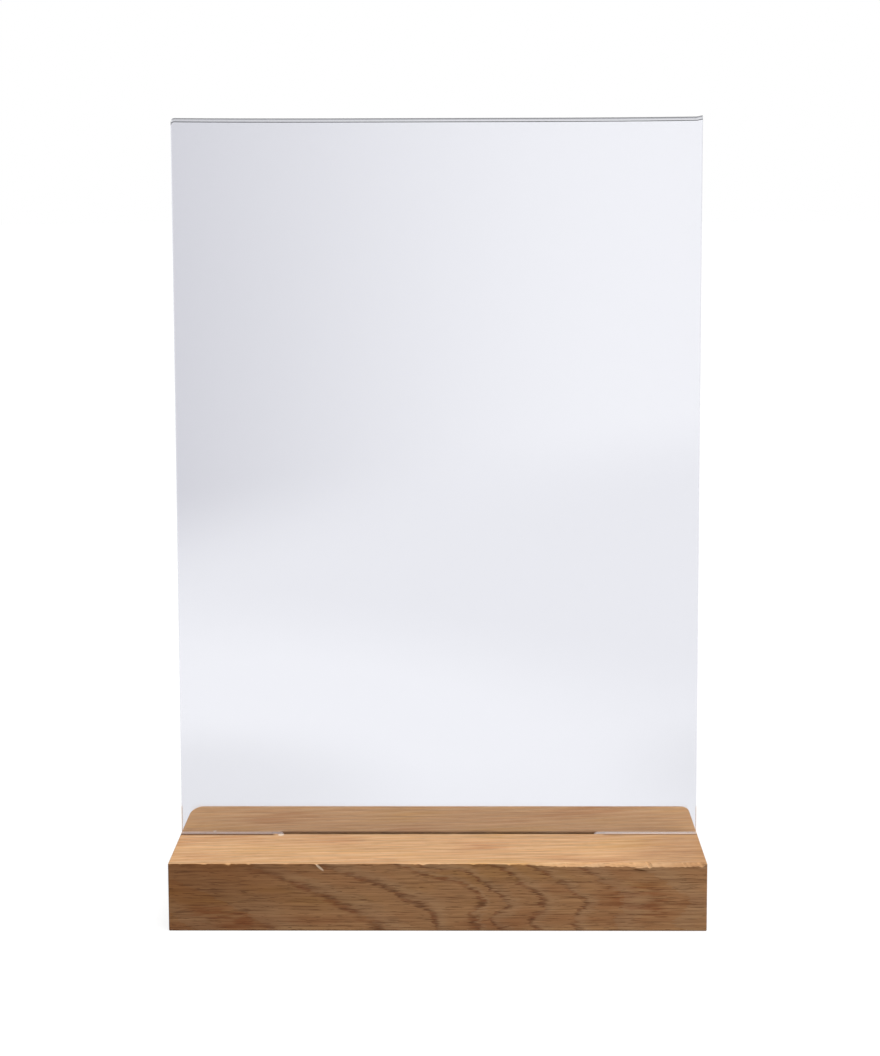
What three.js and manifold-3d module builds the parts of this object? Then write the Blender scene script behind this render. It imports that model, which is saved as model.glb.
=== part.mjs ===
import * as THREE from 'three';
import { mergeVertices } from 'three/addons/utils/BufferGeometryUtils.js';
import Module from 'manifold-3d';

// A sign holder for one upright A4 sheet. A solid oak block has a blind mortise in its top, and a clear
// acrylic sleeve stands in it. The sleeve is one sheet, folded over at the top into two leaves that take
// the paper between them. Below its shoulders, which rest on the wood, a tongue drops into the mortise.
// Millimetres, +Z up, the front towards -Y, the origin under the middle of the block.

// The paper, and the room around it
const PAPER_WIDTH = 210;
const PAPER_HEIGHT = 297;
const PAPER_SIDE_MARGIN = 3;
const PAPER_HEADROOM = 0.25;

// The sleeve
const SHEET_THICKNESS = 1.5;
const PAPER_GAP = 0.5;
const TONGUE_WIDTH = 130;
const TONGUE_DEPTH = 14;
const TONGUE_CORNER_RADIUS = 2;
const SHOULDER_FILLET = 2;

// The room that the tongue has in the mortise
const MORTISE_SIDE_CLEARANCE = 0.25;
const MORTISE_END_CLEARANCE = 1;
const MORTISE_FLOOR_CLEARANCE = 1;

// The oak block: the wood that is left beyond the sleeve and around the mortise
const WOOD_BESIDE_SLEEVE = 0.5;
const WOOD_IN_FRONT = 39;
const WOOD_BEHIND = 37;
const WOOD_BELOW = 13;

// The block's edges: a small break all round, and two upright rear corners rounded by hand
const EDGE_BREAK = 0.5;
const REAR_LEFT_ROUNDING = { across: 5, along: 11.5 };
const REAR_RIGHT_ROUNDING = { across: 3, along: 6.5 };

// Straight steps in a quarter turn
const CORNER_STEPS = 8;
const FOLD_STEPS = 8;

// What follows from them
const sleeveWidth = PAPER_WIDTH + 2 * PAPER_SIDE_MARGIN;
const sleeveThickness = 2 * SHEET_THICKNESS + PAPER_GAP;
const leafHeight = PAPER_HEIGHT + PAPER_HEADROOM;

const mortiseWidth = sleeveThickness + 2 * MORTISE_SIDE_CLEARANCE;
const mortiseEndRadius = mortiseWidth / 2;
const mortiseLength = TONGUE_WIDTH + 2 * (SHOULDER_FILLET + MORTISE_END_CLEARANCE + mortiseEndRadius);
const mortiseDepth = TONGUE_DEPTH + MORTISE_FLOOR_CLEARANCE;

const baseWidth = sleeveWidth + 2 * WOOD_BESIDE_SLEEVE;
const baseDepth = WOOD_IN_FRONT + mortiseWidth + WOOD_BEHIND;
const baseHeight = WOOD_BELOW + mortiseDepth;
const mortiseY = -baseDepth / 2 + WOOD_IN_FRONT + mortiseWidth / 2;

const wasm = await Module();
wasm.setup();

// A closed geometry as a solid that can be cut
function solidOf(geometry) {
  const bare = geometry.clone();
  bare.deleteAttribute('normal');
  bare.deleteAttribute('uv');
  const welded = mergeVertices(bare);
  return new wasm.Manifold(new wasm.Mesh({
    numProp: 3,
    vertProperties: welded.attributes.position.array,
    triVerts: welded.index.array,
  }));
}

// A solid as a geometry again, with a flat normal on each face
function geometryOf(solid) {
  const cut = solid.getMesh();
  const welded = new THREE.BufferGeometry();
  welded.setAttribute('position', new THREE.BufferAttribute(cut.vertProperties, 3));
  welded.setIndex(new THREE.BufferAttribute(cut.triVerts, 1));
  const geometry = welded.toNonIndexed();
  geometry.computeVertexNormals();
  return geometry;
}

// A plain prism: an outline in X and Y, drawn out upwards
function prism(outline, height, curveSegments) {
  return new THREE.ExtrudeGeometry(outline, { depth: height, bevelEnabled: false, curveSegments });
}

// The block seen from above, with sharp front corners and elliptical rear ones
function blockOutline() {
  const right = baseWidth / 2;
  const rear = baseDepth / 2;
  const a = REAR_RIGHT_ROUNDING;
  const b = REAR_LEFT_ROUNDING;
  const outline = new THREE.Shape();
  outline.moveTo(-right, -rear);
  outline.lineTo(right, -rear);
  outline.lineTo(right, rear - a.along);
  outline.absellipse(right - a.across, rear - a.along, a.across, a.along, 0, Math.PI / 2);
  outline.lineTo(-right + b.across, rear);
  outline.absellipse(-right + b.across, rear - b.along, b.across, b.along, Math.PI / 2, Math.PI);
  outline.closePath();
  return outline;
}

// The mortise seen from above, with the round ends that a milling cutter leaves
function mortiseOutline() {
  const straight = mortiseLength / 2 - mortiseEndRadius;
  const outline = new THREE.Shape();
  outline.absarc(straight, 0, mortiseEndRadius, -Math.PI / 2, Math.PI / 2);
  outline.absarc(-straight, 0, mortiseEndRadius, Math.PI / 2, 3 * Math.PI / 2);
  outline.closePath();
  return outline;
}

// The oak block, with its edges broken and the mortise cut down into it
function oakBlock() {
  const block = new THREE.ExtrudeGeometry(blockOutline(), {
    depth: baseHeight - 2 * EDGE_BREAK,
    bevelEnabled: true,
    bevelThickness: EDGE_BREAK,
    bevelSize: EDGE_BREAK,
    bevelOffset: -EDGE_BREAK,
    bevelSegments: 1,
    curveSegments: CORNER_STEPS,
  });
  block.translate(0, 0, EDGE_BREAK);
  // The cutter starts above the wood, so that it breaks cleanly through the top
  const cutter = prism(mortiseOutline(), 2 * mortiseDepth, CORNER_STEPS);
  cutter.translate(0, mortiseY, baseHeight - mortiseDepth);
  return geometryOf(solidOf(block).subtract(solidOf(cutter)));
}

// One leaf seen from the front: the panel, its two shoulders at height 0, and the tongue below them
function leafOutline() {
  const side = sleeveWidth / 2;
  const tongue = TONGUE_WIDTH / 2;
  const outline = new THREE.Shape();
  outline.moveTo(-side, leafHeight);
  outline.lineTo(-side, 0);
  outline.absarc(-tongue - SHOULDER_FILLET, -SHOULDER_FILLET, SHOULDER_FILLET, Math.PI / 2, 0, true);
  outline.absarc(
    -tongue + TONGUE_CORNER_RADIUS, -TONGUE_DEPTH + TONGUE_CORNER_RADIUS,
    TONGUE_CORNER_RADIUS, Math.PI, 3 * Math.PI / 2,
  );
  outline.absarc(
    tongue - TONGUE_CORNER_RADIUS, -TONGUE_DEPTH + TONGUE_CORNER_RADIUS,
    TONGUE_CORNER_RADIUS, -Math.PI / 2, 0,
  );
  outline.absarc(tongue + SHOULDER_FILLET, -SHOULDER_FILLET, SHOULDER_FILLET, Math.PI, Math.PI / 2, true);
  outline.lineTo(side, 0);
  outline.lineTo(side, leafHeight);
  outline.closePath();
  return outline;
}

// The outline stands up, and its thickness runs back from Y = 0
function leaf() {
  const geometry = prism(leafOutline(), SHEET_THICKNESS, CORNER_STEPS);
  geometry.rotateX(Math.PI / 2);
  geometry.translate(0, SHEET_THICKNESS, 0);
  return geometry;
}

// The fold seen from the side: half a turn of the sheet around the paper gap
function foldOutline() {
  const outline = new THREE.Shape();
  outline.absarc(0, 0, PAPER_GAP / 2 + SHEET_THICKNESS, 0, Math.PI);
  outline.absarc(0, 0, PAPER_GAP / 2, Math.PI, 0, true);
  outline.closePath();
  return outline;
}

// The outline's X and Y become Y and Z, and its length runs along X
function fold() {
  const geometry = prism(foldOutline(), sleeveWidth, FOLD_STEPS);
  geometry.translate(0, 0, -sleeveWidth / 2);
  const alongX = new THREE.Matrix4().makeBasis(
    new THREE.Vector3(0, 1, 0), new THREE.Vector3(0, 0, 1), new THREE.Vector3(1, 0, 0),
  );
  geometry.applyMatrix4(alongX);
  return geometry;
}

const oak = new THREE.MeshStandardMaterial({ color: '#c6976a', roughness: 0.6, metalness: 0 });
const acrylic = new THREE.MeshStandardMaterial({
  color: '#eceef3', roughness: 0.05, metalness: 0, transparent: true, opacity: 0.3,
});

function named(name, geometry, material) {
  const mesh = new THREE.Mesh(geometry, material);
  mesh.name = name;
  return mesh;
}

const oakBase = named('oak_base', oakBlock(), oak);

// The sleeve's own origin is at the middle of its thickness, level with the shoulders
const sleeve = new THREE.Group();
const frontLeaf = named('sleeve_front_leaf', leaf(), acrylic);
frontLeaf.position.y = -sleeveThickness / 2;
const rearLeaf = named('sleeve_rear_leaf', leaf(), acrylic);
rearLeaf.position.y = PAPER_GAP / 2;
const topFold = named('sleeve_fold', fold(), acrylic);
topFold.position.z = leafHeight;
sleeve.add(frontLeaf, rearLeaf, topFold);
sleeve.position.set(0, mortiseY, baseHeight);

const signHolder = new THREE.Group();
signHolder.add(oakBase, sleeve);

export default signHolder;
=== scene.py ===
# %% [markdown]
# A sign holder: an oak block and a clear folded sleeve
#
# The real object has two pieces. A solid oak block stands on the table, with a blind mortise milled into its
# top. A sleeve of clear acrylic, one sheet folded over at the top like a book, drops its tongue into that
# mortise and stands on its shoulders. A sheet of paper slides in between its two leaves.
#
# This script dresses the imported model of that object. Each step says what the real piece or finish is, how it
# could be made in Blender, and why this way was chosen. Lengths are written in millimetres and turned to
# metres by MM, because Blender works in metres.

# %% Load the frame
import math

import bmesh
import bpy
from mathutils import Matrix, Vector, noise


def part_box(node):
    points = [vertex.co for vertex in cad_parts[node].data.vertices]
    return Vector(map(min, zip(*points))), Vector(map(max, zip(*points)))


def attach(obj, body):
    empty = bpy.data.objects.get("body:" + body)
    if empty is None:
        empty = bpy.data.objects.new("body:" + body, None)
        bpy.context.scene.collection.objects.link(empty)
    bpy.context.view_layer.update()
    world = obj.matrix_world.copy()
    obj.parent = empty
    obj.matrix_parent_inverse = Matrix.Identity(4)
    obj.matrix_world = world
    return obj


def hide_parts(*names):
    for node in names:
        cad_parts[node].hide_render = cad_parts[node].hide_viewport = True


MM = 0.001

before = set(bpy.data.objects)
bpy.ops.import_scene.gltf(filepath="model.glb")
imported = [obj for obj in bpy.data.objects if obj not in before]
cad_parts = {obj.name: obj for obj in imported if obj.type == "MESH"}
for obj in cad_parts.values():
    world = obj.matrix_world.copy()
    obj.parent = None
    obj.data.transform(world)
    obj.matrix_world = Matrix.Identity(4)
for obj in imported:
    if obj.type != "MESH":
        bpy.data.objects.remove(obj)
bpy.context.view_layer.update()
block_low, block_high = (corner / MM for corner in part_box("oak_base"))
front_leaf_low, front_leaf_high = (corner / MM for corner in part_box("sleeve_front_leaf"))
rear_leaf_low, rear_leaf_high = (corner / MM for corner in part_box("sleeve_rear_leaf"))
fold_low, fold_high = (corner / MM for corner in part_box("sleeve_fold"))
print("nodes:", sorted(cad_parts))
print("block, mm:", [round(side, 2) for side in block_high - block_low])
print("sleeve, mm:", round(fold_high.x - fold_low.x, 2), "wide, top at", round(fold_high.z, 2))


# %% [markdown]
# Three small helpers
#
# Colours are read off real things as sRGB hex values, the way a paint chart gives them, but shaders add up
# light, which needs linear numbers. One function does that turn for the whole script. A second one adds a
# shader node, sets it and links it, so that a material reads as a list of what it is made of. A third one
# starts a material with an empty tree.

# %% Colour and node helpers
def linear(hex_colour):
    """An sRGB hex colour such as '#d6a473' as linear RGBA."""
    channels = [int(hex_colour[i : i + 2], 16) / 255 for i in (1, 3, 5)]
    turned = [c / 12.92 if c <= 0.04045 else ((c + 0.055) / 1.055) ** 2.4 for c in channels]
    return (*turned, 1.0)


def add(tree, kind, inputs=None, **settings):
    """Adds a node. Each input is given a plain value, or what feeds it: a node, or one output of a node."""
    node = tree.nodes.new(kind)
    for name, value in settings.items():
        setattr(node, name, value)
    for name, value in (inputs or {}).items():
        if isinstance(value, bpy.types.Node):
            value = next(output for output in value.outputs if output.enabled)
        if isinstance(value, bpy.types.NodeSocket):
            tree.links.new(value, node.inputs[name])
        else:
            node.inputs[name].default_value = value
    return node


def empty_material(name):
    """A material with nothing in its node tree yet."""
    material = bpy.data.materials.new(name)
    material.use_nodes = True
    material.node_tree.nodes.clear()
    return material


print("oak as linear light:", [round(c, 3) for c in linear("#d6a473")])


# %% [markdown]
# The camera
#
# The photograph looks down on the block, with the upright sides of the sleeve kept parallel. A plain camera
# that looks down would make them lean apart. So the camera stands almost as high as the top of the sleeve,
# and a small lens shift lets it look more nearly level and still hold the whole object. The sides stay almost
# parallel.

# %% Camera
PHOTO_HEIGHT = 1056
SENSOR = 36.0

CAMERA_PLACE = Vector((13.4, -880.0, 304.7))
LOOKS_DOWN = math.radians(6.10)
LOOKS_LEFT = math.radians(0.579)
ROLL = math.radians(-0.159)
FOCAL_PIXELS = 2151.0
SHIFT_ACROSS = -0.0078
SHIFT_UP = -0.12
CLIP_START = 10
CLIP_END = 100000

lens = bpy.data.cameras.new("photo_camera")
lens.sensor_width = SENSOR
lens.lens = FOCAL_PIXELS / PHOTO_HEIGHT * SENSOR
lens.shift_x = SHIFT_ACROSS
lens.shift_y = SHIFT_UP
lens.clip_start = CLIP_START * MM
lens.clip_end = CLIP_END * MM

camera = bpy.data.objects.new("photo_camera", lens)
turn = Matrix.Rotation(LOOKS_LEFT, 4, "Z") @ Matrix.Rotation(math.pi / 2 - LOOKS_DOWN, 4, "X")
camera.matrix_world = Matrix.Translation(CAMERA_PLACE * MM) @ turn @ Matrix.Rotation(ROLL, 4, "Z")
bpy.context.scene.collection.objects.link(camera)
bpy.context.scene.camera = camera
bpy.context.scene.view_settings.view_transform = "Standard"
print("lens, mm:", round(lens.lens, 2))


# %% [markdown]
# What is seen through the sleeve
#
# Clear acrylic has next to no colour of its own. What the eye sees in the photograph is the pale grey studio
# sweep behind it, darker to the left, although everything around the object is pure white. So the floor and
# the world have a look for each kind of ray. A ray straight from the camera sees white. A ray that has passed
# through the acrylic sees the sweep. A ray that has bounced off a gloss sees the dim room around the sweep.
# All other light meets a plain grey floor and a plain fill. The tones depend only on where the floor is, or
# on which way the sky lies, so they stay in place when the camera moves.
#
# Two things return in every material. A span is a range of some value, with what it is turned into, mostly
# with smooth ends. Colours are laid over one another, each where its share says.

# %% Tones of the sweep
SWEEP_DARK = linear("#bebec5")
SWEEP_PALE = linear("#fafbfd")
SWEEP_GLOW = 1.12
ROOM_DIM = linear("#6a6a6e")
WHITE = linear("#ffffff")
BLACK = linear("#000000")
SMOOTH = {"interpolation_type": "SMOOTHSTEP"}


def span(low, high, bottom=0.0, top=1.0):
    """The range from low to high, which a Map Range node turns into bottom to top."""
    return {"From Min": low, "From Max": high, "To Min": bottom, "To Max": top}


def by_spans(tree, value, *spans):
    """One value, turned by each of several spans."""
    return [add(tree, "ShaderNodeMapRange", {"Value": value, **each}, **SMOOTH) for each in spans]


PALE_AT_RIGHT = span(-0.34, 0.10)
PALE_AT_LEFT = span(-0.42, -0.75, 0.0, 0.75)


def sweep_share(tree, across):
    """How pale the sweep is, from 0 in its dark stripe at the left to 1, where across is minus to plus 1."""
    right, left = by_spans(tree, across, PALE_AT_RIGHT, PALE_AT_LEFT)
    return add(tree, "ShaderNodeMath", {0: right, 1: left}, operation="MAXIMUM")


def lay_over(tree, colour, *layers, how="MIX"):
    """A colour with others laid over it in turn. Each layer is its share, from 0 to 1, and its colour."""
    for share, layer in layers:
        colour = add(
            tree, "ShaderNodeMix",
            {"Factor": share, "A": colour, "B": layer},
            data_type="RGBA", blend_type=how,
        )
    return colour


def by_ray(tree, lighting, to_camera, by_gloss, through_clear):
    """The shader that each kind of ray meets: for light itself, and for the three ways of being seen."""
    path = add(tree, "ShaderNodeLightPath")
    shader = lighting
    for ray, seen in (
        ("Is Camera Ray", to_camera),
        ("Is Glossy Ray", by_gloss),
        ("Is Transmission Ray", through_clear),
    ):
        shader = add(tree, "ShaderNodeMixShader", {0: path.outputs[ray], 1: shader, 2: seen})
    return shader


print("sweep at its darkest, linear:", [round(c, 3) for c in SWEEP_DARK])


# %% [markdown]
# The floor
#
# The object stands on a plain pale floor. It is a wide disc, so that it reaches past the horizon of any view.
# It takes the soft shadow of the block and throws some light back up at it. A camera ray gets a little glow
# added, which lifts the bare floor to white and leaves the shadow in place.

# %% Floor
FLOOR_RADIUS = 12000
FLOOR_SIDES = 96
FLOOR_GREY = linear("#8c8c8c")
FLOOR_GLOW = 0.78
POOL_START = 700
NEAR_SHARE = 0.84
FARNESS = span(880, 1560)
FAR_TILT = -1.2

# Soft spots. Each is its centre, turn and reach, and its strength by distance, which is 1 at its reach.
UNTURNED = (0, 0, 0)
# A painted soft pool of light on the floor, which rays through the acrylic see
BRIGHT_PATCH = ((-60, 330, 0), (0, 0, math.radians(-50)), (480, 250, 1), span(1.0, 0.0, 0.0, 0.2))

# Painted soft shades on the floor, which rays through the acrylic see: a shadow under the block, and shade at
# its left and right
SHADES = (
    ((0, 0, 0), UNTURNED, (190, 130, 1), span(0.3, 1.0, 0.45, 0.0)),
    ((-125, 160, 0), UNTURNED, (130, 150, 1), span(0.3, 1.0, 0.08, 0.0)),
    ((175, 180, 0), UNTURNED, (110, 160, 1), span(0.3, 1.0, 0.08, 0.0)),
)


def place_in_mm(tree):
    """Where a point lies in its object's own space, in millimetres."""
    place = add(tree, "ShaderNodeTexCoord").outputs["Object"]
    return add(tree, "ShaderNodeVectorMath", {0: place, "Scale": 1 / MM}, operation="SCALE")


def soft_spot(tree, place, centre, turn, reach, strength):
    """How strong a soft spot is at a place."""
    inside = add(
        tree, "ShaderNodeMapping",
        {"Vector": place, "Location": centre, "Rotation": turn, "Scale": reach},
        vector_type="TEXTURE",
    )
    distance = add(tree, "ShaderNodeVectorMath", {0: inside}, operation="LENGTH")
    return add(tree, "ShaderNodeMapRange", {"Value": distance, **strength}, **SMOOTH)


def sweep_on_floor(tree):
    """The sweep as it lies on the floor: graded far behind, a painted soft pool of light, and painted soft
    shades.
    """
    place = place_in_mm(tree)
    distance = add(tree, "ShaderNodeVectorMath", {0: place}, operation="LENGTH")
    reach = add(tree, "ShaderNodeMath", {0: distance, 1: POOL_START}, operation="ADD")
    sideways = add(tree, "ShaderNodeSeparateXYZ", {"Vector": place}).outputs["X"]
    across = add(tree, "ShaderNodeMath", {0: sideways, 1: reach}, operation="DIVIDE")
    tilted = add(
        tree, "ShaderNodeMath", {0: sideways, 1: FAR_TILT, 2: distance}, operation="MULTIPLY_ADD"
    )
    farness = add(tree, "ShaderNodeMapRange", {"Value": tilted, **FARNESS}, **SMOOTH)
    share = add(
        tree, "ShaderNodeMix",
        {"Factor": farness, "A": NEAR_SHARE, "B": sweep_share(tree, across)},
        data_type="FLOAT",
    )
    patch = soft_spot(tree, place, *BRIGHT_PATCH)
    share = add(tree, "ShaderNodeMath", {0: share, 1: patch}, operation="ADD", use_clamp=True)
    colour = lay_over(tree, SWEEP_DARK, (share, SWEEP_PALE))
    for shade in SHADES:
        colour = lay_over(tree, colour, (soft_spot(tree, place, *shade), BLACK))
    return colour


def floor_material():
    """Matt grey card, which shows white to the camera and the sweep through anything clear."""
    material = empty_material("floor_card")
    tree = material.node_tree
    card = add(tree, "ShaderNodeBsdfDiffuse", {"Color": FLOOR_GREY})
    glow = add(tree, "ShaderNodeEmission", {"Color": WHITE, "Strength": FLOOR_GLOW})
    lifted = add(tree, "ShaderNodeAddShader", {0: card, 1: glow})
    room = add(tree, "ShaderNodeEmission", {"Color": ROOM_DIM, "Strength": 1.0})
    sweep = add(tree, "ShaderNodeEmission", {"Color": sweep_on_floor(tree), "Strength": SWEEP_GLOW})
    add(tree, "ShaderNodeOutputMaterial", {"Surface": by_ray(tree, card, lifted, room, sweep)})
    material.cycles.emission_sampling = "NONE"
    return material


floor_mesh = bpy.data.meshes.new("floor")
disc = bmesh.new()
bmesh.ops.create_circle(disc, cap_ends=True, segments=FLOOR_SIDES, radius=FLOOR_RADIUS * MM)
disc.to_mesh(floor_mesh)
disc.free()
floor_mesh.materials.append(floor_material())
floor = bpy.data.objects.new("floor", floor_mesh)
bpy.context.scene.collection.objects.link(floor)
print("floor radius, mm:", FLOOR_RADIUS)


# %% [markdown]
# World and lamps
#
# The light is plain and soft. A sun with a very wide disc stands high, a little to the front, so the top of
# the block is bright, the front falls into an even shade, and the part behind the sleeve gets its light
# through the acrylic. The world fills in from all round, and a weak panel at the right makes that side of the
# front a little lighter, as in the photograph. Overhead, what shows through the acrylic gets darker, because
# a studio is dark above its sweep. That, with painted shade in the tint of the bend, draws the fine dark lines
# along the fold.

# %% World
WORLD_FILL = 0.2
OVERHEAD = span(0.25, 0.7)
OVERHEAD_TONE = linear("#202024")


def build_world():
    """White to the camera, the sweep through the acrylic, and a plain fill for everything else."""
    world = bpy.data.worlds.new("studio")
    world.use_nodes = True
    tree = world.node_tree
    tree.nodes.clear()
    direction = add(tree, "ShaderNodeTexCoord").outputs["Generated"]
    parts = add(tree, "ShaderNodeSeparateXYZ", {"Vector": direction}).outputs
    level = lay_over(tree, SWEEP_DARK, (sweep_share(tree, parts["X"]), SWEEP_PALE))
    overhead = add(tree, "ShaderNodeMapRange", {"Value": parts["Z"], **OVERHEAD}, **SMOOTH)
    surround = lay_over(tree, level, (overhead, OVERHEAD_TONE))
    looks = ((WHITE, WORLD_FILL), (WHITE, 1.0), (ROOM_DIM, 1.0), (surround, SWEEP_GLOW))
    shaders = [add(tree, "ShaderNodeBackground", {"Color": c, "Strength": s}) for c, s in looks]
    add(tree, "ShaderNodeOutputWorld", {"Surface": by_ray(tree, *shaders)})
    return world


bpy.context.scene.world = build_world()
print("world fill:", WORLD_FILL)

# %% Lamps
SUN_FROM = Vector((0.08, -0.19, 1.0))
SUN_STRENGTH = 2.8
SUN_ANGLE = math.radians(40)

PANEL_PLACE = Vector((620, -560, 240))
PANEL_TARGET = Vector((60, -40, 14))
PANEL_SIZE = 360
PANEL_POWER = 1.65

sun_data = bpy.data.lights.new("soft_overhead", "SUN")
sun_data.energy = SUN_STRENGTH
sun_data.angle = SUN_ANGLE
sun = bpy.data.objects.new("soft_overhead", sun_data)
sun.rotation_mode = "QUATERNION"
sun.rotation_quaternion = SUN_FROM.to_track_quat("Z", "Y")

panel_data = bpy.data.lights.new("side_panel", "AREA")
panel_data.shape = "SQUARE"
panel_data.size = PANEL_SIZE * MM
panel_data.energy = PANEL_POWER
panel = bpy.data.objects.new("side_panel", panel_data)
panel.location = PANEL_PLACE * MM
panel.rotation_mode = "QUATERNION"
panel.rotation_quaternion = (PANEL_PLACE - PANEL_TARGET).to_track_quat("Z", "Y")

# The lamps light the object and don't show in its gloss or through its acrylic
for lamp in (sun, panel):
    lamp.visible_glossy = False
    lamp.visible_transmission = False
    bpy.context.scene.collection.objects.link(lamp)
print("lamps:", sun.name, panel.name)


# %% [markdown]
# The oak block, its outline
#
# The block is sawn and planed oak. Seen from above it is a rectangle whose front corners are sharp and whose
# two rear corners were rounded by hand, the left one more than the right. One way to model it is a cube with
# a Bevel modifier, but a modifier gives every edge the same even bevel, and the real front edge is crisp at
# the left and worn and splintered at the right. So the block is built from rings: closed loops of points that
# follow the outline, each a little further in or higher up than the one before.

# %% Outline of the block
BLOCK_WIDTH = block_high.x - block_low.x
BLOCK_DEPTH = block_high.y - block_low.y
BLOCK_HEIGHT = block_high.z - block_low.z

# Each corner: which side of X and Y it is on, its rounding across and along, and where its turn starts
FRONT_ROUNDING = 0.5
CORNERS = (
    (-1, -1, FRONT_ROUNDING, FRONT_ROUNDING, 180),
    (1, -1, FRONT_ROUNDING, FRONT_ROUNDING, 270),
    (1, 1, 3.0, 6.5, 0),
    (-1, 1, 5.0, 11.5, 90),
)
LEAST_RADIUS = 0.03
FRONT_STEP = 0.5
OTHER_STEP = 2.0
CORNER_STEPS = 8


def corner_point(corner, turned, inset):
    """A point on a corner, turned degrees round it, with the whole outline moved in by inset."""
    side_x, side_y, across, along, start = CORNERS[corner % 4]
    angle = math.radians(start + turned)
    centre_x = side_x * (BLOCK_WIDTH / 2 - max(across, inset))
    centre_y = side_y * (BLOCK_DEPTH / 2 - max(along, inset))
    x = centre_x + max(across - inset, LEAST_RADIUS) * math.cos(angle)
    y = centre_y + max(along - inset, LEAST_RADIUS) * math.sin(angle)
    return Vector((x, y, 0))


def outline_stations():
    """The places round the outline as (corner, degrees turned, share of the way to the next corner)."""
    stations = []
    for corner in range(4):
        stations += [(corner, 90 * i / CORNER_STEPS, 0.0) for i in range(CORNER_STEPS + 1)]
        run = (corner_point(corner + 1, 0, 0) - corner_point(corner, 90, 0)).length
        steps = round(run / (FRONT_STEP if corner == 0 else OTHER_STEP))
        stations += [(corner, 90, i / steps) for i in range(1, steps)]
    return stations


def outline_point(station, inset, z=0.0):
    """The point at a station, at height z, with the outline moved in by inset."""
    corner, turned, share = station
    point = corner_point(corner, turned, inset)
    if share:
        point = point.lerp(corner_point(corner + 1, 0, inset), share)
    point.z = z
    return point


STATIONS = outline_stations()
print("points round the block:", len(STATIONS))

# %% [markdown]
# The oak block, its worn edge
#
# The arris is the line where the top meets the front. At the left it is crisp, with a small radius. At the
# right the grain has torn away, and the top slopes down to a ragged lower edge. There is also one narrow nick
# where a splinter came away. Perlin noise gives the ragged line, and it gives the same line on every run.

# %% Wear along the front edge
CRISP_ARRIS = 0.3
WORN_ARRIS = 0.8
LEAST_ARRIS = 0.15
WEAR_STARTS = 16.0
WEAR_FULL = 62.0
WORN_DROP = 0.6
WORN_REACH = 0.9
RAGGED_BY = 0.55
CRISP_SHARE = 0.3
COARSE_SHARE = 0.8
FINE_SHARE = 0.5
CHIP_FROM = 0.3
CHIP_DEPTH = 1.6
NICK_AT = -48.6
NICK_WIDTH = 1.0
NICK_DEPTH = 0.9
OTHER_ARRIS = 0.45
END_RUN = 2.5

# Noise along an edge, as the length of its lumps in millimetres and its place in the noise
COARSE_RAGS = (6.5, 3.1, 0.0)
FINE_RAGS = (1.6, 7.7, 0.0)
CHIPS = (2.3, 12.4, 0.0)


def smoothstep(low, high, value):
    """0 below low, 1 above high, and a smooth rise between."""
    t = min(max((value - low) / (high - low), 0.0), 1.0)
    return t * t * (3 - 2 * t)


def wear_at(x):
    """How worn the front edge is at x, from 0 where it is crisp to 1 where it is torn off at a slope."""
    return smoothstep(WEAR_STARTS, WEAR_FULL, x)


def lumps(x, length, row, layer):
    """Perlin noise along X, from minus 1 to 1."""
    return noise.noise(Vector((x / length, row, layer)))


def front_arris(x):
    """The radius of the front top arris at x."""
    wear = wear_at(x)
    radius = CRISP_ARRIS + (WORN_ARRIS - CRISP_ARRIS) * wear
    rags = COARSE_SHARE * lumps(x, *COARSE_RAGS) + FINE_SHARE * lumps(x, *FINE_RAGS)
    radius += RAGGED_BY * (CRISP_SHARE + (1 - CRISP_SHARE) * wear) * rags
    radius += CHIP_DEPTH * max(0.0, lumps(x, *CHIPS) - CHIP_FROM)
    radius += NICK_DEPTH * max(0.0, 1 - abs(x - NICK_AT) / NICK_WIDTH)
    ends = smoothstep(0, END_RUN, BLOCK_WIDTH / 2 - abs(x))
    return max(OTHER_ARRIS + (radius - OTHER_ARRIS) * ends, LEAST_ARRIS)


def top_arris(station):
    """The wear and the radius of the top arris at a station. Only the front one is worn."""
    corner, turned, share = station
    if corner == 0 and turned == 90:
        x = outline_point(station, 0).x
        return wear_at(x), front_arris(x)
    return 0.0, OTHER_ARRIS


ARRIS = [top_arris(station) for station in STATIONS]
DROPS = [radius * (1 + WORN_DROP * wear) for wear, radius in ARRIS]
REACHES = [radius * (1 + WORN_REACH * wear) for wear, radius in ARRIS]
print("arris reaches down, mm:", round(min(DROPS), 2), "to", round(max(DROPS), 2))

# %% [markdown]
# The oak block, its mortise
#
# The mortise is a slot with round ends, left by a milling cutter. It could be cut with a Boolean modifier.
# Here its rings are made like those of the outline, and the flat top is filled between the two, which keeps
# the mesh clean and lets the lip of the slot have a small uneven break of its own.

# %% Outline of the mortise
TONGUE_WIDTH = 130.0
SHOULDER_FILLET = 2.0
MORTISE_SIDE_CLEARANCE = 0.25
MORTISE_END_CLEARANCE = 1.0
MORTISE_FLOOR_CLEARANCE = 1.0
MORTISE_LIP = 0.2
LIP_RAGS = (2.2, 5.3, 1.0)
LIP_VARIES = 0.8
MORTISE_STEP = 1.0
MORTISE_END_STEPS = 12

SLEEVE_FRONT = front_leaf_low.y
SLEEVE_BACK = rear_leaf_high.y
MORTISE_WIDTH = SLEEVE_BACK - SLEEVE_FRONT + 2 * MORTISE_SIDE_CLEARANCE
MORTISE_Y = (SLEEVE_FRONT + SLEEVE_BACK) / 2
MORTISE_RADIUS = MORTISE_WIDTH / 2
MORTISE_STRAIGHT = TONGUE_WIDTH / 2 + SHOULDER_FILLET + MORTISE_END_CLEARANCE
MORTISE_FLOOR = front_leaf_low.z - MORTISE_FLOOR_CLEARANCE


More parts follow.
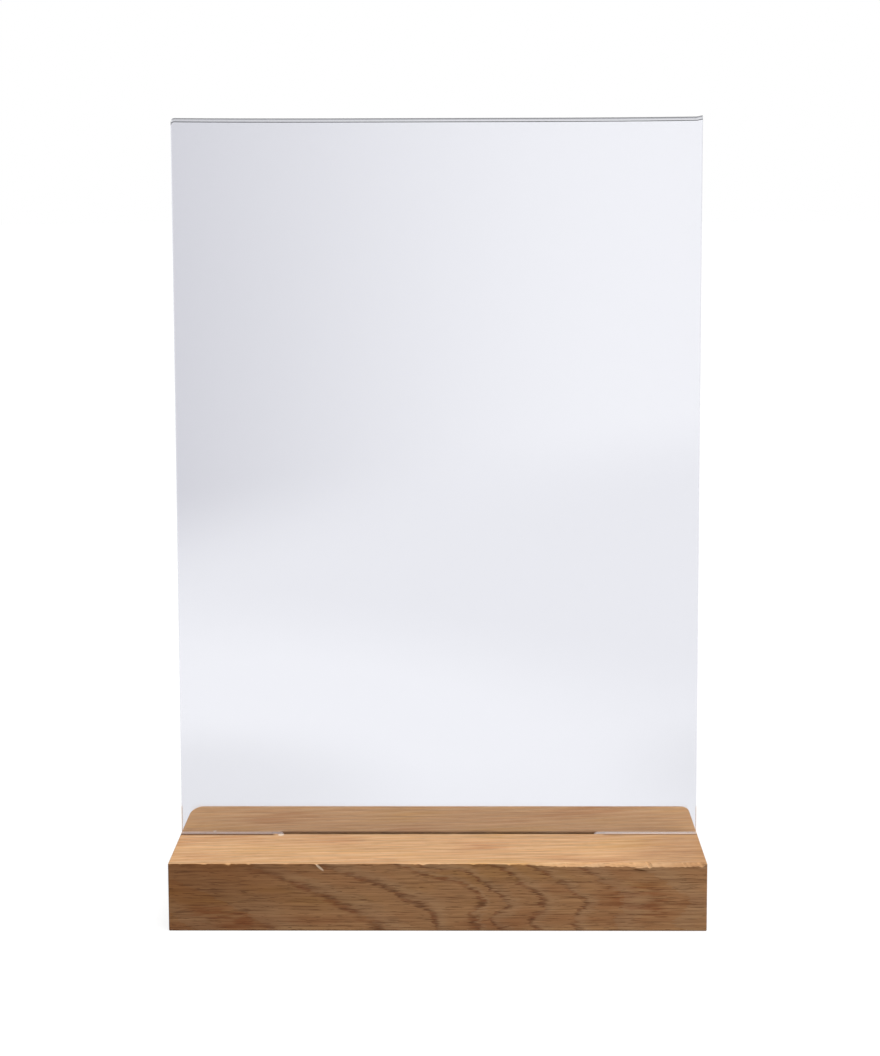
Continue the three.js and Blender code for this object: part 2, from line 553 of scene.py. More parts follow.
def mortise_ring(outset, z):
    """The mortise's outline at height z, opened by outset, which is a function of the place along X."""
    points = []
    steps = round(2 * MORTISE_STRAIGHT / MORTISE_STEP)
    for side in (1, -1):
        for i in range(MORTISE_END_STEPS + 1):
            angle = math.radians(-90 * side + 180 * i / MORTISE_END_STEPS)
            radius = MORTISE_RADIUS + outset(side * MORTISE_STRAIGHT)
            x = side * MORTISE_STRAIGHT + radius * math.cos(angle)
            points.append(Vector((x, MORTISE_Y + radius * math.sin(angle), z)))
        for i in range(1, steps):
            x = side * (MORTISE_STRAIGHT - i * MORTISE_STEP)
            points.append(Vector((x, MORTISE_Y + side * (MORTISE_RADIUS + outset(x)), z)))
    return points


def ragged_lip(x):
    """How far the lip of the mortise is broken at x."""
    return MORTISE_LIP * (1.0 + LIP_VARIES * lumps(x, *LIP_RAGS))


print("mortise, mm:", round(2 * (MORTISE_STRAIGHT + MORTISE_RADIUS), 2), "by", round(MORTISE_WIDTH, 2))

# %% [markdown]
# The oak block, its mesh
#
# Rings of equal length are joined by strips of quads. The bottom is one flat face, and the top is filled
# between the last ring of the outline and the first one of the mortise. Each rounded edge has a ring close
# beyond it on both sides, because smooth shading would otherwise spread its curve over the flat faces. An
# attribute called worn marks where wood has been torn away, and the walls of the mortise, which were never
# oiled, so that the material can show it paler there.

# %% Mesh of the block
ARRIS_STEPS = 6
FOOT_ARRIS = 0.45
FOOT_STEPS = 3
WORN_MARGIN = 0.35
WORN_FROM = 0.7
WORN_FULL = 1.8


def block_rings():
    """The rings of the block from the foot to the top, each as points with how worn each point is."""
    rings = []
    for i in range(FOOT_STEPS + 1):
        angle = math.pi / 2 * i / FOOT_STEPS
        inset = FOOT_ARRIS * (1 - math.sin(angle))
        z = FOOT_ARRIS * (1 - math.cos(angle))
        rings.append([(outline_point(s, inset, z), 0.0) for s in STATIONS])
    rings.append([(outline_point(s, 0, FOOT_ARRIS + WORN_MARGIN), 0.0) for s in STATIONS])
    heights = [BLOCK_HEIGHT - drop - WORN_MARGIN for drop in DROPS]
    rings.append([(outline_point(s, 0, z), 0.0) for s, z in zip(STATIONS, heights)])
    for i in range(ARRIS_STEPS + 1):
        share = i / ARRIS_STEPS
        angle = math.pi / 2 * share
        ring = []
        for station, (wear, _), drop, reach in zip(STATIONS, ARRIS, DROPS, REACHES):
            inward = (1 - wear) * (1 - math.cos(angle)) + wear * share
            down = (1 - wear) * (1 - math.sin(angle)) + wear * (1 - share)
            point = outline_point(station, reach * inward, BLOCK_HEIGHT - drop * down)
            ring.append((point, smoothstep(WORN_FROM, WORN_FULL, drop)))
        rings.append(ring)
    insets = [reach + WORN_MARGIN for reach in REACHES]
    rings.append([(outline_point(s, inset, BLOCK_HEIGHT), 0.0) for s, inset in zip(STATIONS, insets)])
    return rings


BLOCK_RINGS = block_rings()
print("rings up the block:", len(BLOCK_RINGS))


# %% Rings joined to a block
def add_strips(mesh, rings):
    """Joins each ring to the next with quads. Every ring is a closed loop of vertices."""
    for lower, upper in zip(rings, rings[1:]):
        for i in range(len(lower)):
            j = (i + 1) % len(lower)
            mesh.faces.new((lower[i], lower[j], upper[j], upper[i]))


def loop_edges(mesh, ring):
    """The edges round a ring."""
    return [mesh.edges.get((ring[i - 1], ring[i])) for i in range(len(ring))]


def oak_block_mesh():
    """The block as one closed mesh, in metres."""
    mesh = bmesh.new()
    worn = mesh.verts.layers.float.new("worn")
    outer = []
    for ring in BLOCK_RINGS:
        outer.append([mesh.verts.new(point * MM) for point, _ in ring])
        for vertex, (_, amount) in zip(outer[-1], ring):
            vertex[worn] = amount
    add_strips(mesh, outer)
    mesh.faces.new(outer[0])
    inner = [
        mortise_ring(ragged_lip, BLOCK_HEIGHT),
        mortise_ring(lambda x: 0.0, BLOCK_HEIGHT - MORTISE_LIP),
        mortise_ring(lambda x: 0.0, MORTISE_FLOOR),
    ]
    inner = [[mesh.verts.new(point * MM) for point in ring] for ring in inner]
    for vertex in inner[1] + inner[2]:
        vertex[worn] = 1.0
    add_strips(mesh, inner)
    mesh.faces.new(inner[-1])
    rim = loop_edges(mesh, outer[-1]) + loop_edges(mesh, inner[0])
    bmesh.ops.triangle_fill(mesh, edges=rim, use_beauty=True)
    bmesh.ops.recalc_face_normals(mesh, faces=mesh.faces)
    return mesh


print("quads up the block:", len(STATIONS) * (len(BLOCK_RINGS) - 1))

# %% A finished piece
SHARP_ANGLE = math.radians(32)


def new_piece(name, mesh, materials):
    """A finished bmesh as an object of the scene, smooth except at its sharp edges."""
    data = bpy.data.meshes.new(name)
    mesh.to_mesh(data)
    mesh.free()
    for material in materials:
        data.materials.append(material)
    data.shade_smooth()
    data.set_sharp_from_angle(angle=SHARP_ANGLE)
    piece = bpy.data.objects.new(name, data)
    bpy.context.scene.collection.objects.link(piece)
    return piece


print("edges are sharp beyond, degrees:", round(math.degrees(SHARP_ANGLE)))


# %% [markdown]
# Oak, its growth rings
#
# Oiled European oak. Its pattern comes from inside the wood: every year adds a ring, pale and dense at its
# end, dark and full of open pores at its start. A flat picture of grain wrapped round a box never meets at
# the corners, so the rings are made as a solid texture that every face cuts through. The heart of the tree
# lies behind the block, so the top shows them as fine straight lines, and the front, which lies almost flat
# against them, shows them as wide slanting lines and bows.

# %% Growth rings
HEART_Y = 53.0
HEART_Z = -10.0
RING_SLOPE = 0.13
MIDDLE_Z = 13.5

# On the right the rings bulge, low down and high up, which bends their lines on the front into bows
TO_THE_RIGHT = span(-8.0, 14.0)
BULGES = (span(2.0, 16.0, 2.6, -0.2), span(15.0, 28.0, 0.0, -1.3))

# Patterns of lumps. Each is their size in millimetres along X, Y and Z, their detail, their seed, and most
# have a span that turns them. These move the rings in and out: a slow wander, a ripple and a fine tooth.
SWELLS = (
    ((60, 40, 40), 1.0, 3.7, span(0.0, 1.0, -0.5, 0.5)),
    ((14, 8, 6), 1.0, 7.4, span(0.0, 1.0, -0.42, 0.42)),
    ((5.0, 0.6, 0.5), 1.0, 11.1, span(0.0, 1.0, -0.4, 0.4)),
)

# Where the rings start, in millimetres out from the one that meets the middle of the front face.
# Each stretch holds a number of years: wide rings in good years, narrow ones in poor years.
RING_RUNS = (
    (-76.0, -11.5, 18), (-11.5, -5.4, 1), (-5.4, -1.9, 1), (-1.9, 2.3, 1), (2.3, 3.4, 1),
    (3.4, 5.6, 1), (5.6, 7.7, 1), (7.7, 10.0, 1), (10.0, 30.0, 6),
)


def lumpy(tree, place, size, detail, seed, shown=None):
    """Noise with lumps of that size, from 0 to 1, or turned by the span shown."""
    shrunk = add(tree, "ShaderNodeVectorMath", {0: place, 1: size}, operation="DIVIDE")
    pattern = add(
        tree, "ShaderNodeTexNoise",
        {"Vector": shrunk, "W": seed, "Scale": 1.0, "Detail": detail},
        noise_dimensions="4D",
    )
    return by_spans(tree, pattern, shown)[0] if shown else pattern


def ring_age(tree, place):
    """The growth ring number at each place, whole at the start of each year's wood."""
    parts = add(tree, "ShaderNodeSeparateXYZ", {"Vector": place}).outputs
    heart = (0, HEART_Y, HEART_Z)
    from_heart = add(tree, "ShaderNodeVectorMath", {0: place, 1: heart}, operation="SUBTRACT")
    from_heart = add(tree, "ShaderNodeVectorMath", {0: from_heart, 1: (0, 1, 1)}, operation="MULTIPLY")
    radius = add(tree, "ShaderNodeVectorMath", {0: from_heart}, operation="LENGTH")
    middle = math.hypot(HEART_Y + BLOCK_DEPTH / 2, HEART_Z - MIDDLE_Z)
    out = add(tree, "ShaderNodeMath", {0: radius, 1: middle}, operation="SUBTRACT")
    out = add(tree, "ShaderNodeMath", {0: parts["X"], 1: RING_SLOPE, 2: out}, operation="MULTIPLY_ADD")
    right = add(tree, "ShaderNodeMapRange", {"Value": parts["X"], **TO_THE_RIGHT}, **SMOOTH)
    for bulge in by_spans(tree, parts["Z"], *BULGES):
        out = add(tree, "ShaderNodeMath", {0: bulge, 1: right, 2: out}, operation="MULTIPLY_ADD")
    for swell in SWELLS:
        out = add(tree, "ShaderNodeMath", {0: lumpy(tree, place, *swell), 1: out}, operation="ADD")
    age = 0.0
    for start, end, years in RING_RUNS:
        run = add(tree, "ShaderNodeMapRange", {"Value": out, **span(start, end, 0.0, years)})
        age = add(tree, "ShaderNodeMath", {0: age, 1: run}, operation="ADD")
    return age


print("years of wood:", sum(years for _, _, years in RING_RUNS))

# %% [markdown]
# Oak, its years, patches and fibres
#
# Each year starts with a band of open pores, strongest in the middle of the block and broken everywhere, and
# pale dense wood follows it. Broad patches turn the wood a little more red or more gold, and two blotched red
# stains lie on the front. Long soft streaks and fine fibres run along the grain.

# %% Each year's wood
YEAR_ENDS = span(0.86, 1.0)
YEAR_STARTS = span(0.26, 0.0)
DENSE_WOOD = span(0.55, 0.2, 0.0, 0.3)
LINES_MIDDLE = -2.0
LINES_FADE = span(50.0, 84.0, 1.0, 0.2)
LINE_GAPS = ((11.0, 5.0, 4.0), 2.0, 21.0, span(0.3, 0.6, 0.35, 1.0))


def within(tree, limits, *shares):
    """High where all the shares are high, and where each value of limits lies far along all of its spans."""
    product, *others = shares
    for value, *spans in limits:
        others += by_spans(tree, value, *spans)
    for share in others:
        product = add(tree, "ShaderNodeMath", {0: product, 1: share}, operation="MULTIPLY")
    return product


def years_wood(tree, place, across):
    """The open wood that starts each year, and the dense wood that follows it, each from 0 to 1."""
    age = ring_age(tree, place)
    part_of_year = add(tree, "ShaderNodeMath", {0: age}, operation="FRACT")
    before, after, dense = by_spans(tree, part_of_year, YEAR_ENDS, YEAR_STARTS, DENSE_WOOD)
    early = add(tree, "ShaderNodeMath", {0: before, 1: after}, operation="MAXIMUM")
    off_middle = add(tree, "ShaderNodeMath", {0: across, 1: LINES_MIDDLE}, operation="SUBTRACT")
    off_middle = add(tree, "ShaderNodeMath", {0: off_middle}, operation="ABSOLUTE")
    early = within(tree, [(off_middle, LINES_FADE)], early, lumpy(tree, place, *LINE_GAPS))
    return early, dense


print("ring lines fade from, mm:", LINES_FADE["From Min"])

# %% Patches, stains and fibres
OAK_PALE = linear("#e8b683")
OAK_RED = linear("#b96c3c")
OAK_GOLD = linear("#dca75c")
OAK_DENSE = linear("#f0d0a8")
OAK_FIBRE = linear("#8a5a37")
PATCHES = ((45.0, 18.0, 9.0), 2.0, 31.0)
RED_PATCHES = span(0.5, 0.7, 0.0, 0.4)
GOLD_PATCHES = span(0.48, 0.3, 0.0, 0.4)
BLOTCH_SIZE = (10.0, 3.0, 1.5)
BLOTCHES = (BLOTCH_SIZE, 2.0, 26.0, span(0.36, 0.6))
STREAKS = ((70.0, 1.7, 1.0), 3.0, 41.0, span(0.35, 0.75, 0.0, 0.36))
FIBRES = ((16.0, 0.5, 0.42), 2.0, 51.0)
FIBRE_SHOWN = span(0.4, 0.75, 0.0, 0.38)

# Two soft spots on the front
FRONT_Y = block_low.y
STAIN_STRENGTH = span(1.1, 0.3, 0.0, 0.58)
STAINS = (
    ((-86.0, FRONT_Y, 5.5), (0, math.radians(8), 0), (24.0, 14.0, 6.0), STAIN_STRENGTH),
    ((81.0, FRONT_Y, 13.0), (0, math.radians(16), 0), (21.0, 14.0, 12.0), STAIN_STRENGTH),
)


def bare_wood(tree, place, dense, fibre):
    """The colour of the wood without its ring lines and pores."""
    red, gold = by_spans(tree, lumpy(tree, place, *PATCHES), RED_PATCHES, GOLD_PATCHES)
    colour = lay_over(tree, OAK_PALE, (red, OAK_RED), (gold, OAK_GOLD))
    blotch = lumpy(tree, place, *BLOTCHES)
    for stain in STAINS:
        spot = soft_spot(tree, place, *stain)
        stained = add(tree, "ShaderNodeMath", {0: spot, 1: blotch}, operation="MULTIPLY")
        colour = lay_over(tree, colour, (stained, OAK_RED))
    streak = lumpy(tree, place, *STREAKS)
    fibre = add(tree, "ShaderNodeMapRange", {"Value": fibre, **FIBRE_SHOWN}, **SMOOTH)
    return lay_over(tree, colour, (dense, OAK_DENSE), (streak, OAK_FIBRE), (fibre, OAK_FIBRE))


print("fibres, mm:", FIBRES[0])

# %% [markdown]
# Oak, its ring lines and pores
#
# The planed top shows its rings and pores faintly. The sawn sides show them clearly, and are darker,
# partly for the oil that they soak up and partly as painted shade.
# The rings show as red brown lines. The pores are open tubes, 0.2 mm across and several millimetres long,
# which a face cuts as fine dark dashes and the sawn ends cut as dots. They crowd into the start of each ring.
# They are drawn a little wider than life, because the render would lose them otherwise.

# %% Ring lines
FACES_SIDEWAYS = span(0.25, 0.6, 1.0, 0.0)
LINES_SHOWN = span(0.0, 1.0, 0.3, 1.0)
LINE_BROWN = linear("#7c4526")
LINE_RED = linear("#9a4a22")
LINE_BLOTCHES = (BLOTCH_SIZE, 1.0, 28.0, span(0.4, 0.6))
LINE_WIDE = span(0.0, 0.8, 0.0, 0.27)
LINE_CORE = span(0.4, 1.0, 0.0, 0.3)


def sawn_sides(tree):
    """1 on the sawn sides of the block, and 0 on its planed top."""
    facing = add(tree, "ShaderNodeNewGeometry").outputs["Normal"]
    upward = add(tree, "ShaderNodeSeparateXYZ", {"Vector": facing}).outputs["Z"]
    upward = add(tree, "ShaderNodeMath", {0: upward}, operation="ABSOLUTE")
    return add(tree, "ShaderNodeMapRange", {"Value": upward, **FACES_SIDEWAYS}, **SMOOTH)


def ring_lines(tree, place, colour, early):
    """The wood with its ring lines, here brown and there red, each wide and faint with a darker core."""
    line = lay_over(tree, LINE_BROWN, (lumpy(tree, place, *LINE_BLOTCHES), LINE_RED))
    wide, core = by_spans(tree, early, LINE_WIDE, LINE_CORE)
    return lay_over(tree, colour, (wide, line), (core, line))


print("ring lines on the top, against the sides:", LINES_SHOWN["To Min"])

# %% Pores
# A dark brown for the pores, the crack and the lines of painted shade
OAK_DARK_BROWN = linear("#5c3719")
PORES_SHOWN = span(0.0, 1.0, 0.24, 0.46)
CROWDING = span(0.2, 1.0, 0.0, 0.06)

# Long pores and short ones, each as its pattern of lumps and where the pore's edge lies in it
PORES = (
    (((12.0, 0.42, 0.42), 1.0, 61.0), span(0.6, 0.67)),
    (((4.5, 0.36, 0.36), 1.0, 66.3), span(0.62, 0.69)),
)


def open_pores(tree, place, early):
    """1 inside a pore and 0 outside."""
    crowding = add(tree, "ShaderNodeMapRange", {"Value": early, **CROWDING}, **SMOOTH)
    pore = 0.0
    for pattern, edge in PORES:
        dashes = lumpy(tree, place, *pattern)
        dashes = add(tree, "ShaderNodeMath", {0: dashes, 1: crowding}, operation="ADD")
        dashes = add(tree, "ShaderNodeMapRange", {"Value": dashes, **edge}, **SMOOTH)
        pore = add(tree, "ShaderNodeMath", {0: pore, 1: dashes}, operation="MAXIMUM")
    return pore


print("kinds of pores:", len(PORES))

# %% [markdown]
# Oak, its painted shade and what use has left on it
#
# The left of the block is darker, partly in the wood and partly as painted shade, most of all away from its
# foot, and the right end of its top has painted shade. A broken line of painted shade lies under the front
# edge. A painted shadow line lies on the top in front of each shoulder of the sleeve, darker at the left, and
# painted shade lies along the rear lip of the mortise. Two pale specks lie beside the sleeve, and the front has
# a dark crack and a pale splinter. All of it could be painted on a map of the faces, but bands and spots in
# millimetres need no map, and stay where they are on every face.

# %% Darker wood and grime
# The sides are darker, partly for oil and partly as painted shade. The left of the front has painted shade over
# darker wood, less near the foot, and the right end of the top has painted shade.
OAK_SIDES = linear("#d6cbc2")
OAK_SHADED = linear("#dac8b6")
OAK_END = linear("#e4dedb")
LEFT_END = span(-28.0, -104.0)
OFF_FOOT = span(3.0, 20.0, 0.35, 1.0)
RIGHT_END = span(66.0, 100.0)
BEFORE_SLEEVE = span(SLEEVE_FRONT, SLEEVE_FRONT - 6.0)
# A broken line of painted shade under the front edge
UNDER_EDGE = span(25.6, 27.2)
EDGE_SHADE_GAPS = ((9.0, 4.0, 2.0), 2.0, 95.0, span(0.35, 0.65))
EDGE_SHADE_SHOWN = span(0.0, 1.0, 0.0, 0.3)


def darker_and_shaded_wood(tree, place, parts, colour, side, top):
    """The wood with its sides and left darker, partly for oil and wood and partly as painted shade, and painted
    shade at the right end of its top and under its front edge.
    """
    left = within(tree, [(parts["X"], LEFT_END), (parts["Z"], OFF_FOOT)], side)
    colour = lay_over(tree, colour, (side, OAK_SIDES), (left, OAK_SHADED), how="MULTIPLY")
    painted_shade = within(tree, [(parts["Z"], UNDER_EDGE)], side, lumpy(tree, place, *EDGE_SHADE_GAPS))
    painted_shade = add(tree, "ShaderNodeMapRange", {"Value": painted_shade, **EDGE_SHADE_SHOWN}, **SMOOTH)
    colour = lay_over(tree, colour, (painted_shade, OAK_DARK_BROWN))
    right = within(tree, [(parts["X"], RIGHT_END), (parts["Y"], BEFORE_SLEEVE)], top)
    return lay_over(tree, colour, (right, OAK_END), how="MULTIPLY")


print("grime under the edge, mm high:", UNDER_EDGE["From Min"], "to", UNDER_EDGE["From Max"])

# %% Lines beside the sleeve
# A painted shadow line in front of each shoulder, darker at the left, and painted shade along the rear lip of
# the mortise
SEAT_FRONT = span(-3.7, SLEEVE_FRONT - 1.0)
SEAT_BACK = span(SLEEVE_FRONT + 0.3, SLEEVE_FRONT)
LEFT_SHOULDER = span(-MORTISE_STRAIGHT, -MORTISE_STRAIGHT - 2.0, 0.0, 0.9)
RIGHT_SHOULDER = span(MORTISE_STRAIGHT, MORTISE_STRAIGHT + 2.0, 0.0, 0.5)
REAR_LIP = span(5.0, MORTISE_Y + MORTISE_RADIUS, 0.0, 0.5)
PAST_MIDDLE = span(MORTISE_Y, MORTISE_Y + 0.5)
ALONG_MORTISE = span(MORTISE_STRAIGHT, MORTISE_STRAIGHT - 2.0)


def lines_beside_sleeve(tree, parts, colour, top):
    """The wood with a painted shadow line before each shoulder, and painted shade along the rear lip of the
    mortise.
    """
    left, right = by_spans(tree, parts["X"], LEFT_SHOULDER, RIGHT_SHOULDER)
    shoulders = add(tree, "ShaderNodeMath", {0: left, 1: right}, operation="ADD")
    shoulder_shadow = within(tree, [(parts["Y"], SEAT_FRONT, SEAT_BACK)], shoulders, top)
    off_middle = add(tree, "ShaderNodeMath", {0: parts["X"]}, operation="ABSOLUTE")
    lip_shade = within(tree, [(parts["Y"], REAR_LIP, PAST_MIDDLE), (off_middle, ALONG_MORTISE)], top)
    return lay_over(tree, colour, (shoulder_shadow, OAK_DARK_BROWN), (lip_shade, OAK_DARK_BROWN))


print("line before the shoulders, mm:", SEAT_FRONT["From Min"], "to", round(SLEEVE_FRONT, 2))

# %% [markdown]
# Oak, the whole material
#
# All of that is laid over one another. Torn wood and the walls of the mortise are pale and dry. The pores and
# fibres also lie below the surface, which a bump shows, and oiled wood has a satin gloss that its dark fibres
# break up.

# %% Oak material
OAK_TORN = linear("#deb78c")
OAK_SPLINTER = linear("#f4dabb")
OAK_SPECK = linear("#f7e0c8")
FACES_UP = span(1.0, 0.0)
TORN_SHOWN = span(0.0, 1.0, 0.0, 0.2)
FIBRE_DEPTH = -0.25
BUMP_STRENGTH = 0.35
BUMP_HEIGHT = 0.12
SATIN = span(0.3, 0.7, 0.44, 0.58)
OAK_IOR = 1.5
OAK_GLOSS = 0.35

# Two pale specks, a crack and a splinter, each as a soft spot and its colour
SPECK_STRENGTH = span(1.0, 0.6, 0.0, 0.9)
SPECK_LEFT = ((-66.2, -2.1, 28.0), UNTURNED, (1.5, 1.7, 1.0), SPECK_STRENGTH)
SPECK_FAR_LEFT = ((-94.5, 3.9, 28.0), UNTURNED, (0.8, 1.2, 1.0), SPECK_STRENGTH)
CRACK = ((81.5, FRONT_Y, 25.3), (0, math.radians(9), 0), (3.6, 2.0, 0.45), span(1.0, 0.5, 0.0, 0.8))
SPLINTER = ((-47.3, FRONT_Y, 26.3), (0, math.radians(40), 0), (2.4, 3.0, 0.55), span(1.0, 0.6, 0.0, 0.85))
MARKS = (
    (SPECK_LEFT, OAK_SPECK), (SPECK_FAR_LEFT, OAK_SPECK), (CRACK, OAK_DARK_BROWN), (SPLINTER, OAK_SPLINTER),
)


def oiled_oak():
    """Oiled oak: a warm straw brown with red brown ring lines, short dark pores and a satin gloss."""
    material = empty_material("oiled_oak")
    tree = material.node_tree
    place = place_in_mm(tree)
    parts = add(tree, "ShaderNodeSeparateXYZ", {"Vector": place}).outputs
    side = sawn_sides(tree)
    top = add(tree, "ShaderNodeMapRange", {"Value": side, **FACES_UP}, **SMOOTH)
    early, dense = years_wood(tree, place, parts["X"])
    early = within(tree, [(side, LINES_SHOWN)], early)
    fibre = lumpy(tree, place, *FIBRES)
    pore = open_pores(tree, place, early)

    colour = ring_lines(tree, place, bare_wood(tree, place, dense, fibre), early)
    colour = lay_over(tree, colour, (within(tree, [(side, PORES_SHOWN)], pore), OAK_DARK_BROWN))
    colour = darker_and_shaded_wood(tree, place, parts, colour, side, top)
    colour = lines_beside_sleeve(tree, parts, colour, top)
    for mark, tone in MARKS:
        colour = lay_over(tree, colour, (soft_spot(tree, place, *mark), tone))
    worn = add(tree, "ShaderNodeAttribute", attribute_name="worn").outputs["Fac"]
    torn = add(tree, "ShaderNodeMapRange", {"Value": worn, **TORN_SHOWN}, **SMOOTH)
    colour = lay_over(tree, colour, (torn, OAK_TORN))

    depth = add(tree, "ShaderNodeMath", {0: fibre, 1: FIBRE_DEPTH}, operation="MULTIPLY")
    depth = add(tree, "ShaderNodeMath", {0: depth, 1: pore}, operation="SUBTRACT")
    relief = {"Height": depth, "Strength": BUMP_STRENGTH, "Distance": BUMP_HEIGHT * MM}
    finish = {
        "Base Color": colour,
        "Roughness": add(tree, "ShaderNodeMapRange", {"Value": fibre, **SATIN}, **SMOOTH),
        "IOR": OAK_IOR,
        "Specular IOR Level": OAK_GLOSS,
        "Normal": add(tree, "ShaderNodeBump", relief),
    }
    add(tree, "ShaderNodeOutputMaterial", {"Surface": add(tree, "ShaderNodeBsdfPrincipled", finish)})
    return material


# %% Put the block in its place
block = new_piece("oak_block", oak_block_mesh(), [oiled_oak()])
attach(block, "base")
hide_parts("oak_base")
print("block faces:", len(block.data.polygons))


# %% [markdown]
# The sleeve, cut flat and folded
#
# The real sleeve is cut from one flat sheet of cast acrylic, softened along its middle over a hot wire, and
# folded over. The mesh is made the same way. The flat sheet is cut out with its two tongues and shoulders,
# given its thickness, and then every vertex is carried round the fold by one function. A sheet that was built
# folded would need its inner and outer walls drawn by hand, and they would not stay 1.5 mm apart. A laser
# leaves the edges sharp, so they have no bevel.

# %% Flat sheet
SHEET = front_leaf_high.y - front_leaf_low.y
GAP = rear_leaf_low.y - front_leaf_high.y
SLEEVE_WIDTH = fold_high.x - fold_low.x
TONGUE_TIP = front_leaf_low.z
TONGUE_CORNER = 2.0
ARC_STEPS = 8

# The shoulders are drawn this far over the wood that they stand on, so that the two share no face
SHOULDER_LIFT = 0.06
SHOULDER_Z = block_high.z + SHOULDER_LIFT

# The bend begins at this height. Half a turn is how far the sheet runs from there to the top of the fold.
FOLD_START = fold_low.z
FOLD_RADIUS = (GAP + SHEET) / 2
HALF_TURN = math.pi * FOLD_RADIUS / 2
FOLD_STEPS = 24
FOLD_MARGIN = 0.6

# The fold bows up a little near its ends. At the right end it curls, and at the left it is rounded off. The
# leaves follow it only close below the bend. The two powers say how soon the bow and this rise die out.
BOW = 0.35
BOW_POWER = 4
RISE_POWER = 40
CURL = 0.4
CURL_RUN = 2.4
ROUNDED_END = 1.3
FROM_END = (0.0, 0.2, 0.4, 0.65, 0.95, 1.3, 1.8, 2.4, 3.5, 6.0, 10.0, 16.0, 24.0, 34.0, 48.0, 64.0, 84.0)
FOLD_LINES = [d - SLEEVE_WIDTH / 2 for d in FROM_END]
FOLD_LINES += [SLEEVE_WIDTH / 2 - d for d in reversed(FROM_END)]


def arc(centre_x, centre_y, radius, start, end):
    """Points along an arc, from start to end in degrees."""
    angles = [math.radians(start + (end - start) * i / ARC_STEPS) for i in range(ARC_STEPS + 1)]
    return [(centre_x + radius * math.cos(a), centre_y + radius * math.sin(a)) for a in angles]


def leaf_edge():
    """The edge of one leaf from its left shoulder round its tongue to its right one, as x and z."""
    half = TONGUE_WIDTH / 2
    inside = half - TONGUE_CORNER
    outside = half + SHOULDER_FILLET
    edge = [(-SLEEVE_WIDTH / 2, SHOULDER_Z)]
    edge += arc(-outside, SHOULDER_Z - SHOULDER_FILLET, SHOULDER_FILLET, 90, 0)
    edge += arc(-inside, TONGUE_TIP + TONGUE_CORNER, TONGUE_CORNER, 180, 270)
    edge += arc(inside, TONGUE_TIP + TONGUE_CORNER, TONGUE_CORNER, 270, 360)
    edge += arc(outside, SHOULDER_Z - SHOULDER_FILLET, SHOULDER_FILLET, 180, 90)
    edge += [(SLEEVE_WIDTH / 2, SHOULDER_Z)]
    return edge


def flat_sheet():
    """The sheet before it is folded. X is across it, and Y is along it, 0 at the middle of the fold."""
    mesh = bmesh.new()
    runs = [HALF_TURN * (2 * i / FOLD_STEPS - 1) for i in range(FOLD_STEPS + 1)]
    runs = [-HALF_TURN - FOLD_MARGIN, *runs, HALF_TURN + FOLD_MARGIN]
    rows = [[mesh.verts.new((x, y, 0)) for x in FOLD_LINES] for y in runs]
    for first, second in zip(rows, rows[1:]):
        for i in range(len(FOLD_LINES) - 1):
            mesh.faces.new((first[i], first[i + 1], second[i + 1], second[i]))
    for side, row in ((-1, rows[0]), (1, rows[-1])):
        edge = [mesh.verts.new((x, side * (HALF_TURN + FOLD_START - z), 0)) for x, z in leaf_edge()]
        outline = edge + row[::-1]
        mesh.faces.new(outline if side < 0 else outline[::-1])
    return mesh


print("flat sheet, mm:", SLEEVE_WIDTH, "by", round(2 * (HALF_TURN + FOLD_START - TONGUE_TIP), 2))

# %% Thickness and fold
FLAT, BENT, SHOULDER = 0, 1, 2
FACES_DOWN = 0.5


def fold_rise(x):
    """How far the fold stands up at x, above its height in the middle."""
    end = SLEEVE_WIDTH / 2
    rise = BOW * (x / end) ** BOW_POWER
    if x > 0:
        return rise + CURL * smoothstep(end - CURL_RUN, end, x)
    into = max(ROUNDED_END - (end + x), 0.0)
    return rise - ROUNDED_END + math.sqrt(ROUNDED_END ** 2 - into ** 2)


def folded(point):
    """Where a point of the flat sheet goes: down the front leaf, round the fold or down the rear leaf."""
    x, along, out = point
    top = FOLD_START - BOW - CURL + fold_rise(x)
    centre = (SLEEVE_FRONT + SLEEVE_BACK) / 2
    reach = FOLD_RADIUS + out
    if abs(along) <= HALF_TURN:
        angle = along / FOLD_RADIUS
        return Vector((x, centre + reach * math.sin(angle), top + reach * math.cos(angle)))
    drop = abs(along) - HALF_TURN
    share = 1 - drop / (FOLD_START - TONGUE_TIP)
    height = FOLD_START - drop + (top - FOLD_START) * max(share, 0.0) ** RISE_POWER
    return Vector((x, centre + math.copysign(reach, along), height))


def kind_of_face(face):
    """Which of its materials a face of the flat sheet has."""
    x, along, _ = face.calc_center_median()
    if abs(along) < HALF_TURN:
        return BENT
    downward = face.normal.y * math.copysign(1, along)
    return SHOULDER if downward > FACES_DOWN and abs(x) > TONGUE_WIDTH / 2 else FLAT


def sleeve_mesh():
    """The folded sleeve as one closed mesh, in metres, with its bend and shoulders marked."""
    mesh = flat_sheet()
    for vertex in mesh.verts:
        vertex.co.z = -SHEET / 2
    raised = bmesh.ops.extrude_face_region(mesh, geom=mesh.faces[:])["geom"]
    for item in raised:
        if isinstance(item, bmesh.types.BMVert):
            item.co.z = SHEET / 2
    bmesh.ops.recalc_face_normals(mesh, faces=mesh.faces)
    for face in mesh.faces:
        face.material_index = kind_of_face(face)
    for vertex in mesh.verts:
        vertex.co = folded(vertex.co) * MM
    return mesh


print("fold dips in its middle, mm:", round(BOW + CURL - fold_rise(0.0), 2))
